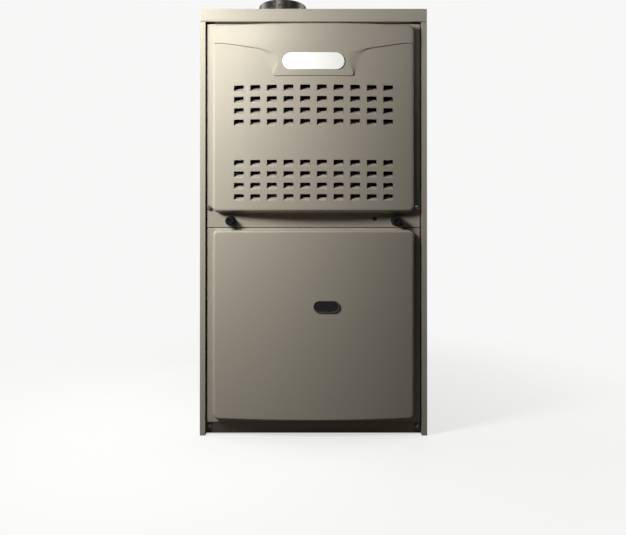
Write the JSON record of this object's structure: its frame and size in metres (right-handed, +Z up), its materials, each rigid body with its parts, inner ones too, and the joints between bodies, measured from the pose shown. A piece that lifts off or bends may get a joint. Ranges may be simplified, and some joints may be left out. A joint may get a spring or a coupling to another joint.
{
  "type": "forced air gas furnace",
  "caption": "Upflow forced air gas furnace: bowed louvred upper door, plain lower door, flue collar, open supply flange; burners, heat exchanger, inducer and blower inside.",
  "frame": {"origin": "bottom centre of the furnace's bounding box, on the floor", "axes": "+Z up, the doors face -Y, +X to the right of someone who looks at the doors"},
  "size_m": [0.446, 0.7318, 0.88],
  "materials": {
    "cabinet_paint": "satin baked enamel, warm taupe grey",
    "door_paint": "satin baked enamel, warm taupe grey",
    "rail_steel": "bare galvanised steel with a warm cast",
    "galvanised_sheet": "galvanised, light spangle",
    "aluminised_steel": "dull aluminised coating",
    "flue_steel": "dark rolled steel",
    "foil": "bright wrinkled foil over insulation",
    "cast_aluminium": "die cast, matt",
    "black_pipe": "black steel pipe, oiled",
    "black_enamel": "black motor enamel",
    "transformer_iron": "varnished core and bobbin",
    "zinc": "bright zinc plate",
    "bezel_steel": "dark enamel rim",
    "black_plastic": "moulded, satin black",
    "grey_plastic": "moulded, matt grey",
    "red_plastic": "moulded, matt red",
    "hose_rubber": "matt silicone rubber",
    "ceramic": "unglazed ceramic",
    "circuit_board": "green solder mask with moulded parts",
    "badge_white": "smooth off-white, bare",
    "smoked_glass": "smoked glass"
  },
  "bodies": {
    "root": {"left_side_panel": "cabinet_paint", "right_side_panel": "cabinet_paint", "back_panel": "cabinet_paint", "top_cap": "cabinet_paint", "bottom_cap": "rail_steel", "bottom_panel": "galvanised_sheet", "blower_deck": "galvanised_sheet", "vestibule_panel": "galvanised_sheet", "foil_liner": "foil", "flue_collar": "flue_steel", "flue_boot": "flue_steel", "heat_exchanger_1": "aluminised_steel", "heat_exchanger_2": "aluminised_steel", "heat_exchanger_3": "aluminised_steel", "burner_1": "aluminised_steel", "burner_2": "aluminised_steel", "burner_3": "aluminised_steel", "burner_shelf": "galvanised_sheet", "gas_manifold": "black_pipe", "gas_valve": "cast_aluminium", "gas_inlet_pipe": "black_pipe", "igniter": "ceramic", "flame_sensor": "ceramic", "rollout_switch_left": "black_plastic", "rollout_switch_right": "black_plastic", "collector_box": "galvanised_sheet", "inducer_housing": "cast_aluminium", "inducer_motor": "black_enamel", "pressure_switch": "grey_plastic", "pressure_hose": "hose_rubber", "limit_switch": "grey_plastic", "blower_housing": "galvanised_sheet", "blower_motor": "black_enamel", "motor_mount": "galvanised_sheet", "capacitor": "zinc", "control_box": "galvanised_sheet", "control_board": "circuit_board", "transformer": "transformer_iron", "door_switch": "black_plastic", "junction_box": "galvanised_sheet", "base_screw_left": "zinc", "base_screw_right": "zinc"},
    "upper_door": {"upper_door": "door_paint", "badge": "badge_white", "door_screw_left": "zinc", "door_screw_right": "zinc"},
    "lower_door": {"lower_door": "door_paint", "sight_glass_bezel": "bezel_steel", "sight_glass": "smoked_glass"},
    "knob_left": {"knob_left": "black_plastic"},
    "knob_right": {"knob_right": "black_plastic"},
    "blower_rotor": {"blower_wheel": "galvanised_sheet", "blower_shaft": "zinc"},
    "inducer_rotor": {"inducer_wheel": "galvanised_sheet", "inducer_cooling_fan": "black_plastic"},
    "gas_valve_knob": {"gas_valve_knob": "red_plastic"},
    "door_switch_plunger": {"door_switch_plunger": "grey_plastic"},
    "reset_button_left": {"reset_button_left": "red_plastic"},
    "reset_button_right": {"reset_button_right": "red_plastic"}
  },
  "joints": [
    {"name": "upper_door_pull", "type": "slide", "parent": "root", "child": "upper_door", "axis": [0, -1, 0], "range_m": [0, 0.3]},
    {"name": "lower_door_pull", "type": "slide", "parent": "root", "child": "lower_door", "axis": [0, -1, 0], "range_m": [0, 0.3]},
    {"name": "knob_left_turn", "type": "hinge", "parent": "upper_door", "child": "knob_left", "pos_m": [-0.163, -0.3351, 0.421], "axis": [0, -1, 0], "range_deg": [0, 90]},
    {"name": "knob_right_turn", "type": "hinge", "parent": "upper_door", "child": "knob_right", "pos_m": [0.163, -0.3351, 0.421], "axis": [0, -1, 0], "range_deg": [0, 90]},
    {"name": "blower_spin", "type": "hinge", "parent": "root", "child": "blower_rotor", "pos_m": [0, 0.0609, 0.24], "axis": [1, 0, 0], "continuous": true},
    {"name": "inducer_spin", "type": "hinge", "parent": "root", "child": "inducer_rotor", "pos_m": [-0.016, -0.25, 0.672], "axis": [0, 1, 0], "continuous": true},
    {"name": "gas_valve_turn", "type": "hinge", "parent": "root", "child": "gas_valve_knob", "pos_m": [-0.1775, -0.31, 0.544], "axis": [0, -1, 0], "range_deg": [0, 90]},
    {"name": "door_switch_press", "type": "slide", "parent": "root", "child": "door_switch_plunger", "axis": [0, 1, 0], "range_m": [0, 0.004], "stiffness_N_per_m": 200, "springref_m": -0.002},
    {"name": "reset_left_pop", "type": "slide", "parent": "root", "child": "reset_button_left", "axis": [-1, 0, 0], "range_m": [0, 0.0012]},
    {"name": "reset_right_pop", "type": "slide", "parent": "root", "child": "reset_button_right", "axis": [1, 0, 0], "range_m": [0, 0.0012]}
  ]
}
